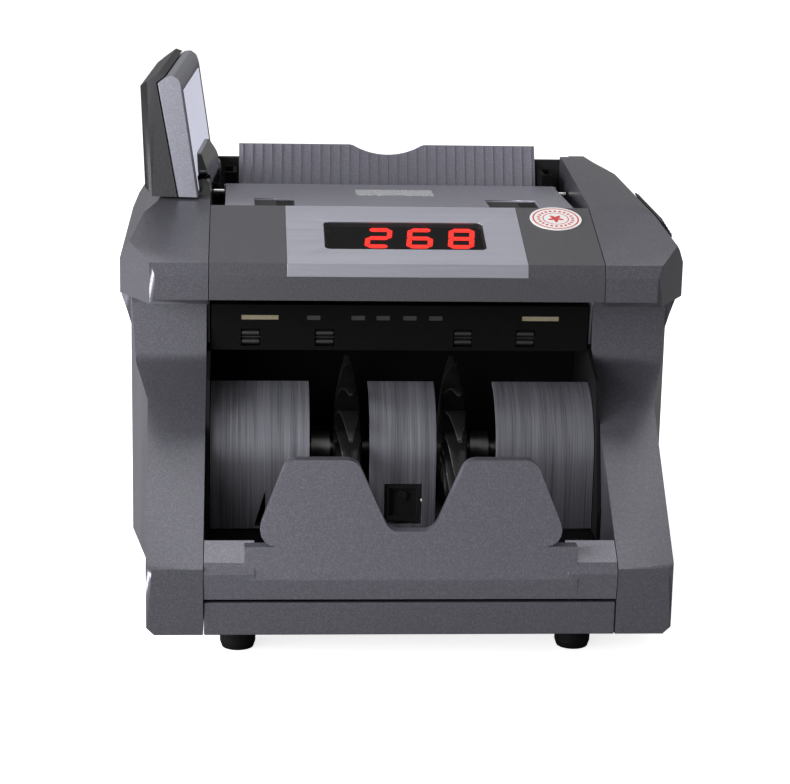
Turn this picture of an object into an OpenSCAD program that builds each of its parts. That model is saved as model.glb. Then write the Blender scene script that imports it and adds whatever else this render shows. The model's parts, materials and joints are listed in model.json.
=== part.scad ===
// Banknote counting machine: top hopper, front stacker, flip-up customer display.
// X runs across the machine, Y from front to back, Z up from the table.

/* [Body] */
// Overall width across the shoulder bulges
body_w = 300; // [292:2:308]
// Overall depth from the front ridge to the back cover
body_d = 270; // [268:1:274]
// Height of the base underside above the table
foot_h = 16.5; // [15:0.5:18]
// Width of the stacker opening between the side covers
pocket_w = 209.2; // [205:0.2:211]
// Wall thickness of the moulded covers
wall = 2.6; // [2:0.1:3.2]

/* [Hood] */
// Front edge of the display hood, from the front ridge
hood_y0 = 69.5; // [68:0.5:71]
// Rear edge of the display hood, from the front ridge
hood_y1 = 138.5; // [136:0.5:139]
// Height of the hood's rear edge
hood_top = 211.9; // [210:0.1:213]
// Width of the brushed face plate
plate_w = 125; // [110:1:140]

/* [Stacker] */
// Radius of the stacker wheels
wheel_r = 50; // [46:0.5:50.5]
// Number of vanes on each stacker wheel
wheel_vanes = 12; // [10:1:14]
// Distance from the middle to each stacker wheel
wheel_x = 28.6; // [27:0.1:30]

/* [Hopper] */
// Half width of the ribbed back plate
tray_half = 87.7; // [80:0.1:88]
// Number of ribs on the back plate
tray_ribs = 31; // [21:2:33]

/* [Hidden] */
$fn = 48;

shell_grey = [0.36, 0.36, 0.40];
dark = [0.10, 0.10, 0.11];
steel = [0.72, 0.73, 0.76];

gap = 0.4;                         // seam between neighbouring covers
half_w = body_w / 2;
inner_x = pocket_w / 2;            // inner face of the side covers
seam_x = inner_x - 2;              // ends of the hood
front_half = half_w - 16.8;        // half width of the front columns
flank_half = half_w - 5;           // half width of the rear flanks
cover_bottom = foot_h;
ridge_z = 52.3;                    // the ridge along the front
bend_y = 113;                      // where the column slope turns upright
bend_z = 130;
lip_z = 174.6;                     // underside of the hood's front lip
hood_front_top = 193.7;
shoulder_z = 221;                  // top of the covers at the back
back_y = body_d;
back_face = back_y - 4;            // outer face of the back cover

frame_x = 102.4;                   // inner face of the steel side frames
frame_t = 1.8;
frame_out = frame_x + frame_t;

stack_y = 110;                     // stacker shaft
stack_z = 85;
count_y = 152;                     // counting roller shaft
count_z = 160;
pick_y = 205;                      // pick-up roller shaft
pick_z = 168;
pinch_y = 152;
pinch_z = count_z + 27.4;
motor_y = 225;
motor_z = 62;
smotor_y = 200;
smotor_z = 102;
shaft_places = [[stack_y, stack_z], [count_y, count_z], [pick_y, pick_z]];
shaft_r = 4;
running = 0.05;                    // radial clearance of a running fit
floor_z = 45;

tilt = atan((hood_top - hood_front_top) / (hood_y1 - 71.9));

screen_turn = -6;                  // the customer display looks a little to the front
disp_rise = 4.3;                   // and follows the shoulder's climb
disp_x = -109.6;                   // foot of its screen at the front
disp_y = 146;
disp_z = 214.2;
disp_d = 75;

// Moves an outline's edges inwards by d; its points run anticlockwise.
function inset(pts, d) = [
    for (i = [0 : len(pts) - 1])
        let (n = len(pts), a = pts[(i + n - 1) % n], b = pts[i], c = pts[(i + 1) % n],
             u = (b - a) / norm(b - a), v = (c - b) / norm(c - b),
             p = [-u[1], u[0]], q = [-v[1], v[0]])
            b + (p + q) * d / (1 + p * q)
];

// Rounds each corner of an outline with radius r.
function rounded(pts, r, steps = 5) = [
    for (i = [0 : len(pts) - 1])
        let (n = len(pts), a = pts[(i + n - 1) % n], b = pts[i], c = pts[(i + 1) % n],
             u = (a - b) / norm(a - b), v = (c - b) / norm(c - b),
             half = acos(u * v) / 2, m = (u + v) / norm(u + v),
             o = b + m * r / sin(half), s = b + u * r / tan(half) - o, e = b + v * r / tan(half) - o,
             turn = atan2(s[0] * e[1] - s[1] * e[0], s * e))
            for (k = [0 : steps])
                let (g = turn * k / steps)
                    o + [s[0] * cos(g) - s[1] * sin(g), s[0] * sin(g) + s[1] * cos(g)]
];

// Puts the machine's middle over the origin.
module placed() {
    translate([0, -body_d / 2, 0]) children();
}

// Extrudes a Y-Z outline across the machine from x0 to x1.
module across(x0, x1) {
    translate([x0, 0, 0])
        rotate([90, 0, 90])
            linear_extrude(x1 - x0) children();
}

// Extrudes an X-Z outline backwards from y0 to y1.
module backwards(y0, y1) {
    translate([0, y1, 0])
        rotate([90, 0, 0])
            linear_extrude(y1 - y0) children();
}

// A round bar across the machine.
module bar_x(x0, x1, y, z, r) {
    translate([x0, y, z])
        rotate([0, 90, 0]) cylinder(h = x1 - x0, r = r);
}

module both_sides() {
    for (s = [0, 1]) mirror([s, 0, 0]) children();
}

// ---- Side covers -------------------------------------------------------

// Side outline of the lower column and flank.
column_side = [
    [2.9, cover_bottom], [back_y - 6, cover_bottom], [back_y, cover_bottom + 8],
    [back_y, 180], [121.5, 180], [120.5, 161], [bend_y + 2, bend_z + 6], [bend_y, bend_z],
    [0, ridge_z], [0.3, 46.7]
];

// Plan of the lower column and flank, right-hand side.
column_plan = [
    [inner_x, -1], [front_half - 4, -1], [front_half, 3], [front_half + 2, 92], [flank_half, 122],
    [flank_half, back_y - 10], [flank_half - 8, back_y + 1], [inner_x, back_y + 1]
];

// Front outline of the lower column and flank, right-hand side.
column_front = [
    [inner_x, cover_bottom], [front_half - 4, cover_bottom], [front_half, cover_bottom + 4],
    [flank_half, cover_bottom + 18], [flank_half, 181], [inner_x, 181]
];

// Side outline of the shoulder, which carries the hood's line to the outside.
shoulder_side = [
    [hood_y0 + 4, lip_z - 3], [121.5, 170], [121.5, 140], [back_y, 140],
    [back_y, shoulder_z - 8], [back_y - 5, shoulder_z], [back_y - 20, shoulder_z],
    [hood_y1 + 3, hood_top + 1], [71.9, hood_front_top], [69.7, 187.2], [hood_y0, lip_z]
];

shoulder_plan = [
    [seam_x + gap, hood_y0 - 1], [front_half - 4, hood_y0 - 1], [front_half, hood_y0 + 3],
    [half_w, 106], [half_w, back_y - 12], [half_w - 10, back_y + 1], [seam_x + gap, back_y + 1]
];

shoulder_front = [
    [seam_x + gap, 139], [flank_half - 1, 139], [flank_half, 150], [half_w - 3, 157],
    [half_w, 166], [half_w, 189], [half_w - 3.5, 197], [half_w - 12, 209.5],
    [half_w - 26, 217], [half_w - 34, 222], [seam_x + gap, 222]
];

module cover_form(d) {
    intersection() {
        across(0, body_w) polygon(inset(column_side, d));
        linear_extrude(body_d) polygon(inset(column_plan, d));
        backwards(-2, body_d + 2) polygon(inset(column_front, d));
    }
    intersection() {
        across(0, body_w) polygon(inset(shoulder_side, d));
        linear_extrude(body_d) polygon(inset(shoulder_plan, d));
        backwards(-2, body_d + 2) polygon(inset(shoulder_front, d));
    }
}

cover_window = [
    [86, cover_bottom + 6], [back_face - 7.5, cover_bottom + 6], [back_face - 7.5, 190],
    [133, 190], [127, 168], [120, 131], [86, 107]
];

// Right-hand cover; the left one is its mirror image.
module side_cover() {
    color(shell_grey)
    difference() {
        cover_form(0);
        cover_form(wall);
        // The inside is open towards the side frame, behind the stacker.
        across(seam_x - 1, inner_x + wall + 1) polygon(cover_window);
        // Seat of the back cover.
        translate([0, back_face - 4, 0]) cube([inner_x + 4, 10, 260]);
    }
}

module left_side_cover() {
    mirror([1, 0, 0]) side_cover();
}

module right_side_cover() {
    side_cover();
}

// Speaker grille pad on the right shoulder's outer slope.
module shoulder_grille() {
    slope = atan((209.5 - 197) / 8.5);
    color(dark)
    translate([half_w - 7.4, 165, 203.7])
        rotate([0, slope, 0])
            difference() {
                translate([-6.6, -42, 0.15]) cube([13.2, 84, 1.8]);
                for (i = [-9 : 9])
                    translate([-4.8, i * 4.2 - 0.7, 1.15]) cube([9.6, 1.4, 2]);
            }
}

// ---- Hood and count display ---------------------------------------------

hood_side = [
    [hood_y0, lip_z], [hood_y0 + wall, lip_z], [hood_y0 + wall, 186], [74, 191.3],
    [hood_y1 - 1, hood_top - wall - 0.6], [hood_y1 + 2.2, 200], [hood_y1 + 2.2, hood_top - 1.4],
    [hood_y1, hood_top], [71.9, hood_front_top], [69.7, 187.2]
];

// Runs children in the hood's slope: x across, y up the slope, z out of the face.
module on_slope() {
    translate([0, 71.9, hood_front_top])
        rotate([tilt, 0, 0]) children();
}

window_half = 42.6;
window_y0 = 17;
window_y1 = 49.6;

// The face plate lies on the slope and wraps down over the front chamfer.
plate_side = [
    [69.7, 187.1], [71.2, 187.1], [73.1, 192.7], [hood_y1 + 0.3, hood_top - 1.2],
    [hood_y1, hood_top], [71.9, hood_front_top]
];

module window_hole(grow, depth, top) {
    w = window_half + grow;
    corner = [[-w, window_y0 - grow], [w, window_y0 - grow], [w, window_y1 + grow], [-w, window_y1 + grow]];
    translate([0, 0, -depth])
        linear_extrude(depth + top) polygon(rounded(corner, 3));
}

module display_hood() {
    color([0.24, 0.24, 0.26])
    difference() {
        across(-seam_x, seam_x) polygon(hood_side);
        // Shallow seat for the face plate, then the window itself.
        across(-plate_w / 2 - 0.1, plate_w / 2 + 0.1) polygon(inset(plate_side, -0.04));
        on_slope() window_hole(-1, 12, 2);
    }
    // Lugs that carry the display board.
    color(dark)
    both_sides()
        on_slope() translate([window_half + 4, 20, -10.2]) cube([6, 8, 7.2]);
}

module display_faceplate() {
    color([0.72, 0.74, 0.78])
    difference() {
        across(-plate_w / 2, plate_w / 2) polygon(plate_side);
        on_slope() window_hole(0, 6, 3);
    }
}

module display_window() {
    color([0.02, 0.02, 0.02])
    on_slope()
        window_hole(-0.15, 1.0, -0.3);
}

module count_display_board() {
    color([0.05, 0.25, 0.12])
    on_slope()
        translate([-window_half - 11, 12, -11.9]) cube([2 * window_half + 22, 42, 1.6]);
}

digit_w = 11.2;                    // between the middles of the upright bars
digit_h = 19.6;
digit_pitch = 22;
bar_w = 2.7;
slant = 0.1;

// Bars of a seven-segment digit, clockwise from the top, the middle one last: [x, y, upright].
digit_bars = [
    [0, 1, 0], [0.5, 0.75, 1], [0.5, 0.25, 1], [0, 0, 0], [-0.5, 0.25, 1], [-0.5, 0.75, 1], [0, 0.5, 0]
];

// One slanted digit with the listed bars lit.
module digit(lit) {
    for (i = lit) {
        b = digit_bars[i];
        y = b[1] * digit_h;
        half = (b[2] == 1 ? digit_h / 4 : digit_w / 2) - 0.35;
        translate([b[0] * digit_w + slant * y, y, 0])
            rotate([0, 0, b[2] == 1 ? 90 - atan(slant) : 0])
                linear_extrude(1)
                    polygon([[-half, 0], [bar_w / 2 - half, -bar_w / 2], [half - bar_w / 2, -bar_w / 2],
                        [half, 0], [half - bar_w / 2, bar_w / 2], [bar_w / 2 - half, bar_w / 2]]);
    }
}

module count_digits() {
    two = [0, 1, 6, 4, 3];
    six = [0, 5, 4, 3, 2, 6];
    eight = [0, 1, 2, 3, 4, 5, 6];
    shown = [two, six, eight];
    color([1, 0.1, 0.05])
    on_slope() {
        for (i = [0 : 2])
            translate([-14.6 + i * digit_pitch, 24.6, -2.6]) digit(shown[i]);
        // Light block behind the four places.
        translate([-window_half + 4, 18.4, -10.2]) cube([2 * window_half - 8, 30, 7.7]);
    }
}

module round_seal() {
    color([0.93, 0.92, 0.91])
    on_slope()
        translate([83, 55, 0.05]) cylinder(h = 0.35, r = 14);
}

// ---- Stacker --------------------------------------------------------------

panel_half = inner_x - gap;
ledge_half = 80;
hump_x = 45.3;
hump_top = 104.8;
valley_z = 70;
panel_low = 35.8;

// Half of the panel's front outline, from the middle valley out to the end ledge.
panel_outline = concat(
    [[-panel_half, panel_low], [panel_half, panel_low], [panel_half, 62.6], [ledge_half + 0.8, 62.6]],
    rounded([[ledge_half, 62.7], [hump_x + 17.6, hump_top], [hump_x - 17.6, hump_top], [11.2, valley_z],
        [-11.2, valley_z], [-hump_x + 17.6, hump_top], [-hump_x - 17.6, hump_top], [-ledge_half, 62.7]], 8),
    [[-ledge_half - 0.8, 62.6], [-panel_half, 62.6]]
);

hump_side = [
    [1.9, panel_low], [8.5, panel_low], [8.5, 50], [22, hump_top + 1], [15.4, hump_top + 1],
    [2.6, 55.6], [0, 46]
];

ledge_side = [
    [1.9, panel_low], [8.5, panel_low], [8.5, 54.6], [15.5, 58.8], [15.5, 62.5], [2.9, 54.9], [0, 49.5]
];

module stacker_front_panel() {
    color(shell_grey) {
        intersection() {
            backwards(-2, 30) polygon(panel_outline);
            across(-ledge_half - 4, ledge_half + 4) polygon(hump_side);
        }
        both_sides() across(ledge_half - 1, panel_half) polygon(ledge_side);
        // Screw bosses behind the lower strip.
        for (x = [-70, 70])
            translate([x, 8.4, 41]) rotate([-90, 0, 0]) cylinder(h = 4, r = 4);
    }
}

module stacker_floor() {
    color(dark)
    difference() {
        union() {
            translate([-frame_x + 0.4, 16, floor_z]) cube([2 * frame_x - 0.8, 62, 2.4]);
            translate([-frame_x + 0.4, 13, 36]) cube([2 * frame_x - 0.8, 3, floor_z - 36 + 2.4]);
        }
        wheel_slots(60);
    }
}

// Slots that the wheels pass through.
module wheel_slots(y0) {
    for (s = [-1, 1])
        translate([s * wheel_x - 10.2, y0 - 4, 20]) cube([20.4, 120, 150]);
}

plate_y = 79;                      // upright face of the stack plates
plate_z = 84;                      // where they start to curve back
plate_bend = 38;

// Front of a stack plate: upright, then curving back over the shaft.
function plate_curve(r) = [for (a = [180 : -8 : 100]) [plate_y + plate_bend, plate_z] + r * [cos(a), sin(a)]];

stack_plate_side = concat(
    [[plate_y, floor_z + 3]],
    [[plate_y + 1.2, floor_z + 3]],
    plate_curve(plate_bend - 1.2),
    [for (k = [10 : -1 : 0]) plate_curve(plate_bend)[k]]
);

module stack_plate(x0, x1) {
    color(steel) across(x0, x1) polygon(stack_plate_side);
}

module left_stack_plate() {
    difference() {
        stack_plate(-frame_x + 0.3, -49.6);
        plate_slot();
    }
    brackets(-74);
}

module right_stack_plate() {
    difference() {
        stack_plate(49.6, frame_x - 0.3);
        mirror([1, 0, 0]) plate_slot();
    }
    brackets(74);
}

// Narrow slot beside the hump for a finger to free a note.
module plate_slot() {
    backwards(70, 90) polygon([[-79.5, floor_z + 2], [-73, floor_z + 2], [-73, 69]]);
}

// Foot that screws a plate to the floor.
module brackets(x) {
    color(steel) translate([x - 6, 79.6, floor_z + 2.9]) cube([12, 8, 1.4]);
}

module centre_stack_plate() {
    difference() {
        stack_plate(-17.8, 17.8);
        translate([-9.6, 70, 50.5]) cube([20, 16, 22.5]);
    }
    brackets(0);
}

module note_sensor() {
    color([0.03, 0.03, 0.03])
    difference() {
        translate([-9.2, 80.2, 52.4]) cube([19.2, 9, 20.2]);
        translate([-7, 79, 54.8]) cube([14.8, 3.2, 15.4]);
    }
    color(steel)
    translate([0.4, 82.1, 66]) rotate([90, 0, 0]) cylinder(h = 1.2, r = 2.4);
}

// Vaned wheels that slow each note and stack it.
module wheel(cx) {
    tip = wheel_r;
    sweep = 70;
    steps = 5;
    thick = 2.4;
    intersection() {
        union() {
            translate([cx - 8, stack_y, stack_z])
                rotate([0, 90, 0]) cylinder(h = 16, r = 13);
            for (i = [0 : wheel_vanes - 1])
                translate([cx - 8, stack_y, stack_z])
                    rotate([90 + i * 360 / wheel_vanes, 0, 0])
                        rotate([0, 90, 0])
                            linear_extrude(16) polygon(vane(11, tip, sweep, steps, thick));
        }
        // The wheel thins towards its rim, so each vane ends in a blunt arch.
        translate([cx, stack_y, stack_z])
            rotate([0, 90, 0])
                rotate_extrude($fn = 72)
                    polygon([[0, -7.6], [15, -7.4], [29, -6], [41, -3.6], [tip, -1],
                        [tip, 1], [41, 3.6], [29, 6], [15, 7.4], [0, 7.6]]);
    }
}

// One curved vane as an outline: out along one face and back along the other.
function vane(r0, r1, sweep, steps, t) = concat(
    [for (k = [0 : steps]) let (f = k / steps, r = r0 + (r1 - r0) * f, a = sweep * f) r * [cos(a), sin(a)]],
    [for (k = [steps : -1 : 0]) let (f = k / steps, r = r0 + (r1 - r0) * f,
        a = sweep * f + asin(min(1, t * (1.2 - 0.4 * f) / r)))
        r * [cos(a), sin(a)]]
);

module stacker_wheels() {
    color([0.07, 0.07, 0.08])
    difference() {
        for (s = [-1, 1]) wheel(s * wheel_x);
        bar_x(-60, 60, stack_y, stack_z, shaft_r);
    }
}

module stacker_shaft() {
    color(steel) {
        bar_x(-frame_out - 14, frame_out + 3, stack_y, stack_z, shaft_r);
        for (s = [-1, 1]) bar_x(s * 43 - 5, s * 43 + 5, stack_y, stack_z, 8);
    }
    color(dark) pulley(-frame_out - 12, stack_y, stack_z, 16);
}

// ---- Base, frames and back ------------------------------------------------

module base_pan() {
    color(shell_grey)
    difference() {
        translate([-inner_x + gap, 2.4, cover_bottom]) cube([pocket_w - 2 * gap, back_face - 6.4, 17.4]);
        translate([-inner_x + 5, 6, cover_bottom + 2.4]) cube([pocket_w - 10, back_face - 13.4, 30]);
        for (x = [-60 : 12 : 60])
            translate([x - 2, 190, cover_bottom - 1]) cube([4, 50, 5]);
    }
    color(shell_grey)
    for (x = [-87.2, 87.2], y = [32.7, 238])
        translate([x, y, cover_bottom + 2]) cylinder(h = 9, r = 4);
}

module rubber_feet() {
    color([0.05, 0.05, 0.05])
    for (x = [-87.2, 87.2], y = [32.7, 238])
        translate([x, y, 0]) {
            cylinder(h = 3, r1 = 8.2, r2 = 9.2);
            translate([0, 0, 3]) cylinder(h = foot_h - 3, r = 9.2);
        }
}

frame_side = [
    [62, cover_bottom + 18.5], [257, cover_bottom + 18.5], [257, 187], [137, 187], [128.2, 168],
    [122.8, 138.4], [86, 128], [62, 62]
];

module side_frame(x0) {
    color([0.13, 0.13, 0.14])
    difference() {
        across(x0, x0 + frame_t) polygon(frame_side);
        for (p = shaft_places) bar_x(x0 - 1, x0 + 5, p[0], p[1], 8);
        for (p = [[motor_y, motor_z], [smotor_y, smotor_z]]) bar_x(x0 - 1, x0 + 5, p[0], p[1], 5);
        for (y = [90 : 20 : 170]) bar_x(x0 - 1, x0 + 5, y, 46, 5);
    }
}

module left_side_frame() {
    side_frame(-frame_out);
}

module right_side_frame() {
    side_frame(frame_x);
}

module cross_braces() {
    color(steel)
    for (p = [[70, 38], [180, 191], [252, 78], [246, 176]])
        bar_x(-frame_x, frame_x, p[0], p[1], 4);
}

// Bearings for the three shafts, in both frames.
module shaft_bearings() {
    color(steel)
    both_sides()
        for (p = shaft_places)
            translate([frame_x - 1, p[0], p[1]])
                rotate([0, 90, 0])
                    difference() {
                        union() {
                            cylinder(h = frame_t + 2, r = 8);
                            cylinder(h = 1, r = 9.5);
                        }
                        translate([0, 0, -1]) cylinder(h = frame_t + 5, r = shaft_r + running);
                    }
}

module back_cover() {
    color(dark)
    difference() {
        union() {
            translate([-inner_x - 3.7, back_face - 3.6, cover_bottom + 0.4]) cube([pocket_w + 7.4, 3.6, 202]);
            // Flange that the hopper's back plate hangs on.
            translate([-inner_x + 6, back_face - 9, 196]) cube([pocket_w - 12, 6, 3]);
        }
        // Air slots.
        for (z = [40 : 7 : 96], s = [-1, 1])
            translate([s * 30 - 22, back_face - 6, z]) cube([44, 8, 3]);
        // Power inlet and switch.
        translate([-92, back_face - 6, 34]) cube([28, 8, 20]);
        translate([-88.4, back_face - 6, 61.6]) cube([20.8, 8, 14.2]);
        // Screw that sets the feed gap.
        translate([0, back_face - 6, 176]) rotate([-90, 0, 0]) cylinder(h = 8, r = 4 + running);
    }
}

// ---- Hopper -----------------------------------------------------------------

tray_face = [
    [224, 181], [236, 184], [245, 191], [251, 200.5], [256, 211], [264.4, 226.8]
];

notch_r = 42.8;
notch_z = 226.8 + notch_r - 5.5;

module hopper_back_plate() {
    pitch = 5.7;
    back = [for (i = [len(tray_face) - 1 : -1 : 0]) tray_face[i] + [1.3, -1.2]];
    rib = [for (p = tray_face) p + [-0.8, 0.3]];
    root = [for (i = [len(tray_face) - 1 : -1 : 0]) tray_face[i] + [0.3, -0.3]];
    color([0.33, 0.33, 0.36])
    difference() {
        union() {
            across(-tray_half, tray_half) polygon(concat(tray_face, back));
            for (i = [0 : tray_ribs - 1])
                translate([(i - (tray_ribs - 1) / 2) * pitch, 0, 0])
                    across(-0.5, 0.5) polygon(concat(rib, root));
        }
        // Thumb notch in the top edge.
        translate([0, 250, notch_z]) rotate([-90, 0, 0]) cylinder(h = 30, r = notch_r);
    }
    color(dark)
    for (s = [-1, 1])
        translate([s * 60 - 6, 254.4, 199.3]) cube([12, 7.4, 4.6]);
}

module hopper_side_guides() {
    color(dark)
    both_sides()
        difference() {
            translate([tray_half + 1.2, 233, 190]) cube([6.6, 23.5, 24.5]);
            translate([tray_half + 3.4, 235.4, 193]) cube([8, 18.7, 30]);
        }
}

// Curved chute that leads notes round the counting roller.
module feed_chute() {
    r = 21;
    arc = [for (a = [140 : 15 : 260]) r * [cos(a), sin(a)]];
    arc_in = [for (a = [260 : -15 : 140]) (r - 1.6) * [cos(a), sin(a)]];
    color([0.12, 0.12, 0.13])
    across(-frame_x + 0.4, frame_x - 0.4)
        translate([count_y, count_z]) polygon(concat(arc, arc_in));
}

// Board of lamps and sensors over the stacker, seen at the back of the opening.
module upper_note_guide() {
    color([0.05, 0.05, 0.06])
    difference() {
        translate([-frame_x + 0.4, 100, 172]) cube([2 * frame_x - 0.8, 26, 3]);
        for (x = [-84 : 24 : 84]) translate([x - 5, 104, 171]) cube([10, 6, 5]);
    }
    color([0.75, 0.72, 0.6])
    for (x = [-84 : 24 : 84]) translate([x - 4, 105, 170.6]) cube([8, 4, 5]);
}

// Bar that reads the notes as they drop, across the back of the opening.
bar_y = 119;
bar_z = 136.4;
lamp_x = 66;
lamp_w = 20;
contact_places = [-47, -23, -9.5, 5, 19];
presser_places = [-81, -41, 34, 68];

module reader_bar() {
    color(dark)
    difference() {
        translate([-frame_x + 0.4, bar_y, bar_z]) cube([2 * frame_x - 0.8, 7, 25]);
        for (s = [-1, 1])
            translate([s * (lamp_x + lamp_w / 2) - lamp_w / 2 - 0.1, bar_y - 1, 153])
                cube([lamp_w + 0.2, 3.2, 2.6]);
        for (x = presser_places)
            translate([x - 5.2, bar_y - 1, 138.6]) cube([10.4, 5, 9.4]);
        for (x = contact_places)
            translate([x - 3.7, bar_y - 1, 152.9]) cube([7.4, 2.4, 2.6]);
    }
}

module reader_lamps() {
    color([0.85, 0.8, 0.66])
    for (s = [-1, 1])
        translate([s * (lamp_x + lamp_w / 2) - lamp_w / 2, bar_y + 0.4, 153.1]) cube([lamp_w, 1.8, 2.4]);
}

module reader_contacts() {
    color(steel) {
        for (x = contact_places)
            translate([x - 3.6, bar_y + 0.4, 153]) cube([7.2, 1, 2.4]);
        for (x = presser_places, z = [140.9, 145.6])
            bar_x(x - 4.6, x + 4.6, bar_y + 2, z, 1.8);
        for (x = presser_places)
            bar_x(x - 5.2, x + 5.2, bar_y + 2, 143.2, 0.5);
    }
}

// Wall between the note path and the motors; it keeps the stacker dark.
module partition_wall() {
    color(dark)
    difference() {
        translate([-frame_x + 0.4, 171, 36]) cube([2 * frame_x - 0.8, 1.6, 140]);
        translate([-8, 170, 40]) cube([16, 4, 8]);
    }
}

module hatch_cover() {
    thick = 2.6;
    slab = [[hood_y1 + 3, 211.4], [hood_y1 + 3, 211.4 - thick], [228, 208 - thick], [230, 207], [229, 208.6]];
    color([0.35, 0.35, 0.38])
    difference() {
        union() {
            across(-95, 95) polygon([slab[0], slab[4], slab[3], slab[2], slab[1]]);
            for (s = [-1, 1]) bar_x(s * 92 - 4, s * 92 + 4, 224, 204.6, 4.4);
        }
        // Finger pockets at the front edge.
        translate([-79, hood_y1 + 1, 209.4]) cube([22, 30, 4]);
        translate([49, hood_y1 + 1, 209.4]) cube([28, 30, 4]);
        bar_x(-100, 100, 224, 204.6, 1.5 + running);
    }
}

hatch_tilt = -atan(2.8 / 87);

module hatch_label() {
    color([0.85, 0.86, 0.88])
    translate([0, 183, 210.16])
        rotate([hatch_tilt, 0, 0]) translate([-21.8, 0, 0]) cube([43.6, 22, 0.3]);
}

module hatch_hinge_pins() {
    color(steel)
    for (s = [-1, 1]) bar_x(s * 95 - 7, s * 95 + 7, 224, 204.6, 1.5);
}

// ---- Rollers and drive ------------------------------------------------------

module pulley(x, y, z, r) {
    bar_x(x, x + 8, y, z, r);
    bar_x(x - 1.2, x, y, z, r + 2);
    bar_x(x + 8, x + 9.2, y, z, r + 2);
}

// A steel shaft with rubber tyres at the given places.
module roller(y, z, r, places, width) {
    color(steel) bar_x(-frame_out - 3, frame_out + 14, y, z, shaft_r);
    color([0.08, 0.08, 0.09])
    for (x = places) bar_x(x - width / 2, x + width / 2, y, z, r);
}

module pickup_roller() {
    roller(pick_y, pick_z, 18, [-62, -22, 22, 62], 16);
    color(dark) pulley(frame_out + 4, pick_y, pick_z, 14);
}

module counting_roller() {
    roller(count_y, count_z, 15, [-62, -22, 22, 62], 20);
    color(dark) pulley(frame_out + 4, count_y, count_z, 14);
}

module pinch_rollers() {
    color(steel) bar_x(-frame_x + 1, frame_x - 1, pinch_y, pinch_z, 3);
    color([0.1, 0.1, 0.1])
    for (x = [-62, -22, 22, 62]) bar_x(x - 6, x + 6, pinch_y, pinch_z, 11.9);
}

module motor(x0, x1, y, z, r) {
    color([0.42, 0.43, 0.45])
    difference() {
        union() {
            bar_x(x0, x1, y, z, r);
            bar_x(x1 - 3, x1, y, z, r + 2);
        }
        bar_x(x0 - 1, x1 + 1, y, z, 3 + running);
    }
}

module drive_motor() {
    motor(34, frame_x - 0.5, motor_y, motor_z, 21);
}

module stacker_motor() {
    mirror([1, 0, 0]) motor(46, frame_x - 0.5, smotor_y, smotor_z, 17);
}

module drive_motor_pulley() {
    color(steel) bar_x(36, frame_out + 14, motor_y, motor_z, 3);
    color(dark) pulley(frame_out + 4, motor_y, motor_z, 9);
}

module stacker_motor_pulley() {
    color(steel) bar_x(-frame_out - 14, -48, smotor_y, smotor_z, 3);
    color(dark) pulley(-frame_out - 12, smotor_y, smotor_z, 9);
}

// A flat belt that wraps round wheels given as [y, z, r].
module belt(x0, wheels) {
    color([0.05, 0.05, 0.05])
    difference() {
        hull() for (w = wheels) bar_x(x0, x0 + 6, w[0], w[1], w[2] + 1.9, $fn = 32);
        hull() for (w = wheels) bar_x(x0 - 1, x0 + 7, w[0], w[1], w[2] + 0.4, $fn = 32);
    }
}

module drive_belt() {
    belt(frame_out + 5, [[motor_y, motor_z, 9], [count_y, count_z, 14], [pick_y, pick_z, 14]]);
}

module stacker_belt() {
    belt(-frame_out - 11, [[smotor_y, smotor_z, 9], [stack_y, stack_z, 16]]);
}

// ---- Electrics --------------------------------------------------------------

module control_board() {
    color([0.05, 0.3, 0.15]) translate([-90, 148, 23]) cube([110, 38, 1.6]);
    color(dark) {
        translate([-70, 156, 24.6]) cube([18, 18, 2]);
        translate([-40, 158, 24.6]) cube([14, 8, 2]);
        translate([-16, 154, 24.6]) cube([10, 22, 6]);
    }
}

module power_supply() {
    color([0.6, 0.6, 0.6])
    difference() {
        translate([-90, 196, 36]) cube([80, 54, 34]);
        translate([-88.4, 197.6, 37.6]) cube([76.8, 50.8, 34]);
    }
    color([0.8, 0.7, 0.2]) translate([-60, 212, 37.6]) cube([26, 24, 22]);
}

module power_inlet() {
    color(dark)
    difference() {
        translate([-91.6, back_face - 14, 34.4]) cube([27.2, 16, 19.2]);
        translate([-89.4, back_face - 11, 36.4]) cube([22.8, 14, 15.2]);
    }
    color(steel)
    for (p = [[-83, 42], [-73, 42], [-78, 47]])
        translate([p[0] - 1, back_face - 11.5, p[1] - 2]) cube([2, 5, 4]);
}

switch_y = back_face - 1.4;
switch_z = 68.7;
switch_tilt = 7;

module power_switch() {
    color([0.08, 0.08, 0.08])
    translate([-78, switch_y, switch_z])
        rotate([switch_tilt, 0, 0]) translate([-9.8, -4, -5.8]) cube([19.6, 7.4, 11.6]);
}

module feed_gap_knob() {
    head_r = 9;
    color(dark)
    translate([0, back_face, 176])
        rotate([-90, 0, 0]) {
            translate([0, 0, -10]) cylinder(h = 10.4, r = 4);
            difference() {
                translate([0, 0, 0.4]) cylinder(h = 3.5, r = head_r);
                for (a = [0 : 20 : 340])
                    rotate([0, 0, a]) translate([head_r + 0.4, 0, 0]) cylinder(h = 5, r = 1);
                translate([-6, -0.6, 3.1]) cube([12, 1.2, 2]);
            }
        }
}

module cover_screws() {
    color(steel) {
        for (x = [-99, 99], z = [48, 120, 190])
            translate([x, back_face, z]) rotate([-90, 0, 0]) cylinder(h = 1.4, r = 3);
        for (x = [-70, 70])
            translate([x, 12.4, 41]) rotate([-90, 0, 0]) cylinder(h = 0.5, r = 2.6);
    }
}

// ---- Customer display ---------------------------------------------------------

// Runs children in the display's frame: y along its foot, turned a little to the front
// and climbing with the shoulder.
module at_display() {
    translate([disp_x, disp_y, disp_z])
        rotate([0, 0, screen_turn])
            rotate([disp_rise, 0, 0]) children();
}

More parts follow.
